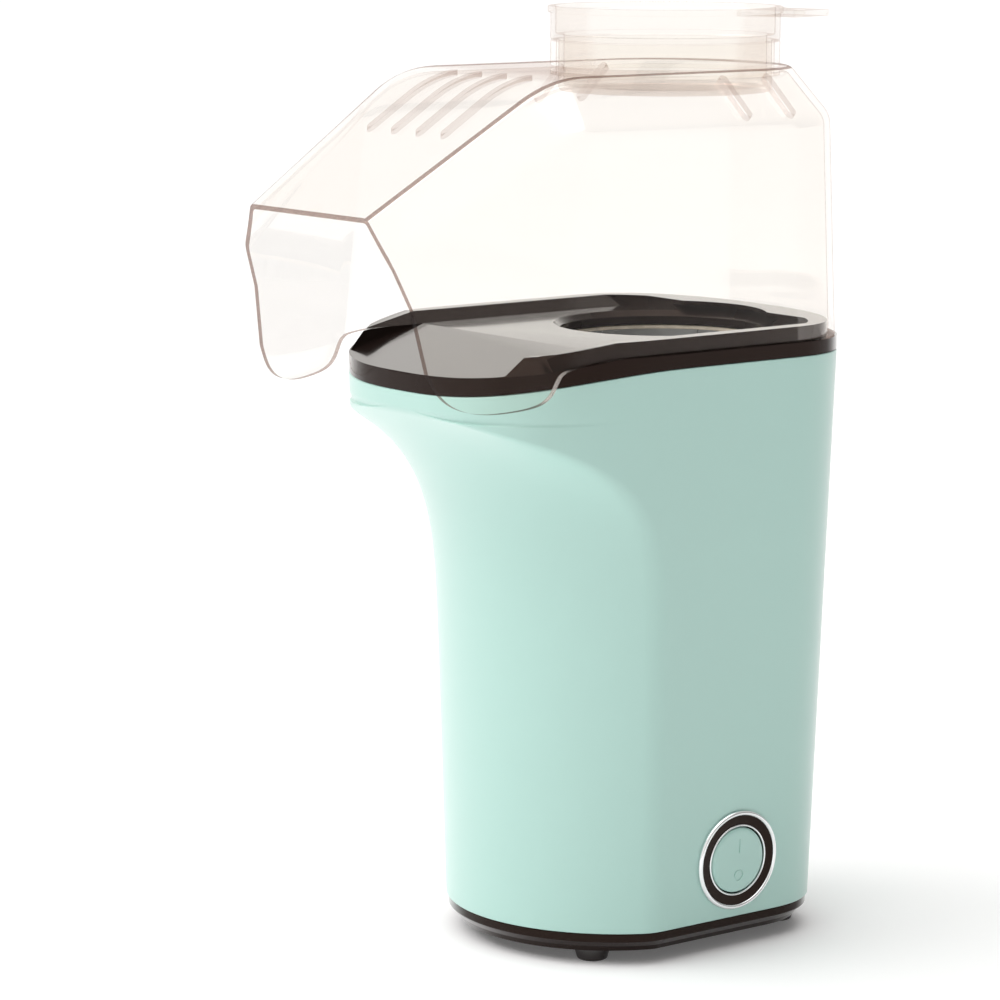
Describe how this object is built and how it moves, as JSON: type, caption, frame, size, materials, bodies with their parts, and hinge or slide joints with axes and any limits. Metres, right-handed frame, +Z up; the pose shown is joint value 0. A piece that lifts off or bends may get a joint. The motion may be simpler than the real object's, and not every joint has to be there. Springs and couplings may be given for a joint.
{
  "type": "popcorn maker",
  "caption": "Hot-air popcorn maker with a scooped mint body, dark spout deck, clear lift-off chute cover, measuring cup on top and a round rocker switch.",
  "frame": {"origin": "on the table, under the centre of the whole outline seen from above", "axes": "+Z is up along the chamber, -Y is the front where the chute pours, +X is the flank that carries the switch"},
  "size_m": [0.1284, 0.2038, 0.3291],
  "materials": {
    "mint_shell": "satin",
    "dark_gloss": "polished",
    "foot_rubber": "satin",
    "screw_steel": "satin",
    "clear_plastic": "polished",
    "chrome_trim": "polished",
    "black_plastic": "matte",
    "brass_tab": "satin",
    "chamber_alu": "satin",
    "gasket_felt": "matte",
    "shroud_steel": "satin",
    "mica_board": "satin",
    "coil_wire": "matte",
    "ceramic_body": "matte",
    "grey_plastic": "matte",
    "rotor_copper": "satin",
    "magnet_ferrite": "matte",
    "bell_plastic": "satin",
    "bronze_bush": "satin",
    "carbon": "matte",
    "board_laminate": "satin",
    "lead_white": "satin",
    "lead_red": "satin",
    "lead_cream": "matte"
  },
  "bodies": {
    "appliance": {"housing": "mint_shell", "base_plate": "dark_gloss", "feet": "foot_rubber", "foot_screws": "screw_steel", "deck": "dark_gloss", "deck_screws": "screw_steel", "switch_outer_ring": "chrome_trim", "switch_bezel": "dark_gloss", "switch_inner_ring": "chrome_trim", "switch_pin": "screw_steel", "switch_body": "black_plastic", "switch_terminals": "brass_tab", "cord_outlet": "black_plastic", "chamber": "chamber_alu", "chamber_gasket": "gasket_felt", "heater_shroud": "shroud_steel", "heater_floor": "shroud_steel", "mica_cross": "mica_board", "heating_coil": "coil_wire", "coil_terminals": "brass_tab", "thermostat": "ceramic_body", "thermal_fuse": "ceramic_body", "blower_housing": "grey_plastic", "blower_cap": "grey_plastic", "blower_screws": "screw_steel", "motor_can": "shroud_steel", "motor_magnets": "magnet_ferrite", "motor_bell": "bell_plastic", "bearing_top": "bronze_bush", "bearing_bottom": "bronze_bush", "brushes": "carbon", "rectifier_board": "board_laminate", "diodes": "black_plastic", "mains_leads": "lead_white", "motor_leads": "lead_red", "heater_leads": "lead_cream"},
    "cover_body": {"cover": "clear_plastic"},
    "cup_body": {"measuring_cup": "clear_plastic"},
    "button_body": {"switch_button": "mint_shell"},
    "fan_body": {"fan": "black_plastic", "motor_shaft": "screw_steel", "rotor": "rotor_copper", "commutator": "brass_tab"}
  },
  "joints": [
    {"name": "cover_lift", "type": "slide", "parent": "appliance", "child": "cover_body", "axis": [0, 0, 1], "range_m": [0, 0.12]},
    {"name": "cup_lift", "type": "slide", "parent": "cover_body", "child": "cup_body", "axis": [0, 0, 1], "range_m": [0, 0.06]},
    {"name": "switch_rock", "type": "hinge", "parent": "appliance", "child": "button_body", "pos_m": [0.05392, 0.04145, 0.03287], "axis": [0, 1, 0], "range_deg": [-3, 3]},
    {"name": "fan_spin", "type": "hinge", "parent": "appliance", "child": "fan_body", "pos_m": [0, 0.05195, 0.06], "axis": [0, 0, 1], "continuous": true}
  ]
}
